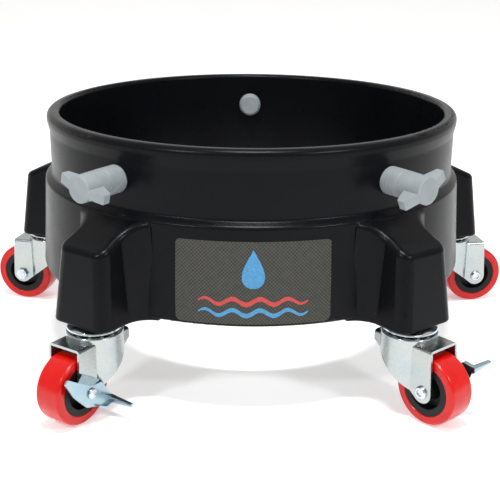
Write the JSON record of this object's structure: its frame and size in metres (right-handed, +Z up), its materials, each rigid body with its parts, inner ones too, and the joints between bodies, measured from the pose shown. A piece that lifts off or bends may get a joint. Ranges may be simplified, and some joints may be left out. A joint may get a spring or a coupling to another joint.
{
  "type": "bucket dolly",
  "caption": "Black moulded bucket dolly with red swivel caster wheels, side brakes and grey thumbscrews that clamp a wash bucket.",
  "frame": {"origin": "on the floor, under the middle of the dolly", "axes": "+Z up, -Y towards the labelled front, +X to the right seen from the front"},
  "size_m": [0.4617, 0.4133, 0.1915],
  "materials": {
    "ring_plastic": "satin",
    "label_vinyl": "matte",
    "insert_steel": "satin",
    "bearing_steel": "gloss",
    "stem_steel": "satin",
    "race_zinc": "gloss",
    "fork_zinc": "satin",
    "axle_steel": "satin",
    "lever_zinc": "satin",
    "hub_plastic": "satin",
    "tread_red": "gloss",
    "bush_steel": "satin",
    "screw_plastic": "satin"
  },
  "bodies": {
    "dolly": {"dolly_ring": "ring_plastic", "front_label": "label_vinyl", "leg_inserts": "insert_steel", "bearing_balls": "bearing_steel", "caster_stem_front_left": "stem_steel", "top_race_front_left": "race_zinc", "caster_stem_front_right": "stem_steel", "top_race_front_right": "race_zinc", "caster_stem_right": "stem_steel", "top_race_right": "race_zinc", "caster_stem_back": "stem_steel", "top_race_back": "race_zinc", "caster_stem_left": "stem_steel", "top_race_left": "race_zinc"},
    "swivel_front_left": {"fork_front_left": "fork_zinc", "axle_front_left": "axle_steel", "axle_nut_front_left": "axle_steel", "brake_washer_front_left": "axle_steel"},
    "wheel_front_left": {"wheel_hub_front_left": "hub_plastic", "wheel_tread_front_left": "tread_red", "wheel_bush_front_left": "bush_steel"},
    "brake_front_left": {"brake_lever_front_left": "lever_zinc"},
    "swivel_front_right": {"fork_front_right": "fork_zinc", "axle_front_right": "axle_steel", "axle_nut_front_right": "axle_steel", "brake_washer_front_right": "axle_steel"},
    "wheel_front_right": {"wheel_hub_front_right": "hub_plastic", "wheel_tread_front_right": "tread_red", "wheel_bush_front_right": "bush_steel"},
    "brake_front_right": {"brake_lever_front_right": "lever_zinc"},
    "swivel_right": {"fork_right": "fork_zinc", "axle_right": "axle_steel", "axle_nut_right": "axle_steel"},
    "wheel_right": {"wheel_hub_right": "hub_plastic", "wheel_tread_right": "tread_red", "wheel_bush_right": "bush_steel"},
    "swivel_back": {"fork_back": "fork_zinc", "axle_back": "axle_steel", "axle_nut_back": "axle_steel"},
    "wheel_back": {"wheel_hub_back": "hub_plastic", "wheel_tread_back": "tread_red", "wheel_bush_back": "bush_steel"},
    "swivel_left": {"fork_left": "fork_zinc", "axle_left": "axle_steel", "axle_nut_left": "axle_steel"},
    "wheel_left": {"wheel_hub_left": "hub_plastic", "wheel_tread_left": "tread_red", "wheel_bush_left": "bush_steel"},
    "screw_front_left": {"thumbscrew_front_left": "screw_plastic"},
    "screw_front_right": {"thumbscrew_front_right": "screw_plastic"},
    "screw_back": {"thumbscrew_back": "screw_plastic"}
  },
  "joints": [
    {"name": "swivel_turn_front_left", "type": "hinge", "parent": "dolly", "child": "swivel_front_left", "pos_m": [-0.11121, -0.15307, 0.058], "axis": [0, 0, 1], "continuous": true},
    {"name": "wheel_roll_front_left", "type": "hinge", "parent": "swivel_front_left", "child": "wheel_front_left", "pos_m": [-0.12532, -0.17383, 0.0254], "axis": [0.8271, -0.5621, 0], "continuous": true},
    {"name": "brake_swing_front_left", "type": "hinge", "parent": "swivel_front_left", "child": "brake_front_left", "pos_m": [-0.11101, -0.18355, 0.0254], "axis": [-0.8271, 0.5621, 0], "range_deg": [0, 45]},
    {"name": "swivel_turn_front_right", "type": "hinge", "parent": "dolly", "child": "swivel_front_right", "pos_m": [0.11121, -0.15307, 0.058], "axis": [0, 0, 1], "continuous": true},
    {"name": "wheel_roll_front_right", "type": "hinge", "parent": "swivel_front_right", "child": "wheel_front_right", "pos_m": [0.12734, -0.17229, 0.0254], "axis": [0.766, 0.6428, 0], "continuous": true},
    {"name": "brake_swing_front_right", "type": "hinge", "parent": "swivel_front_right", "child": "brake_front_right", "pos_m": [0.1406, -0.16117, 0.0254], "axis": [-0.766, -0.6428, 0], "range_deg": [0, 45]},
    {"name": "swivel_turn_right", "type": "hinge", "parent": "dolly", "child": "swivel_right", "pos_m": [0.17994, 0.05847, 0.058], "axis": [0, 0, 1], "continuous": true},
    {"name": "wheel_roll_right", "type": "hinge", "parent": "swivel_right", "child": "wheel_right", "pos_m": [0.20469, 0.06265, 0.0254], "axis": [-0.1668, 0.986, 0], "continuous": true},
    {"name": "swivel_turn_back", "type": "hinge", "parent": "dolly", "child": "swivel_back", "pos_m": [0, 0.1892, 0.058], "axis": [0, 0, 1], "continuous": true},
    {"name": "wheel_roll_back", "type": "hinge", "parent": "swivel_back", "child": "wheel_back", "pos_m": [0.02504, 0.18745, 0.0254], "axis": [0.0698, 0.9976, 0], "continuous": true},
    {"name": "swivel_turn_left", "type": "hinge", "parent": "dolly", "child": "swivel_left", "pos_m": [-0.17994, 0.05847, 0.058], "axis": [0, 0, 1], "continuous": true},
    {"name": "wheel_roll_left", "type": "hinge", "parent": "swivel_left", "child": "wheel_left", "pos_m": [-0.20429, 0.06454, 0.0254], "axis": [-0.2419, -0.9703, 0], "continuous": true},
    {"name": "screw_feed_front_left", "type": "slide", "parent": "dolly", "child": "screw_front_left", "axis": [0.5878, 0.809, 0], "range_m": [-0.005, 0.0145]},
    {"name": "screw_feed_front_right", "type": "slide", "parent": "dolly", "child": "screw_front_right", "axis": [-0.5878, 0.809, 0], "range_m": [-0.005, 0.0145]},
    {"name": "screw_feed_back", "type": "slide", "parent": "dolly", "child": "screw_back", "axis": [0, -1, 0], "range_m": [-0.014, 0.005]}
  ]
}
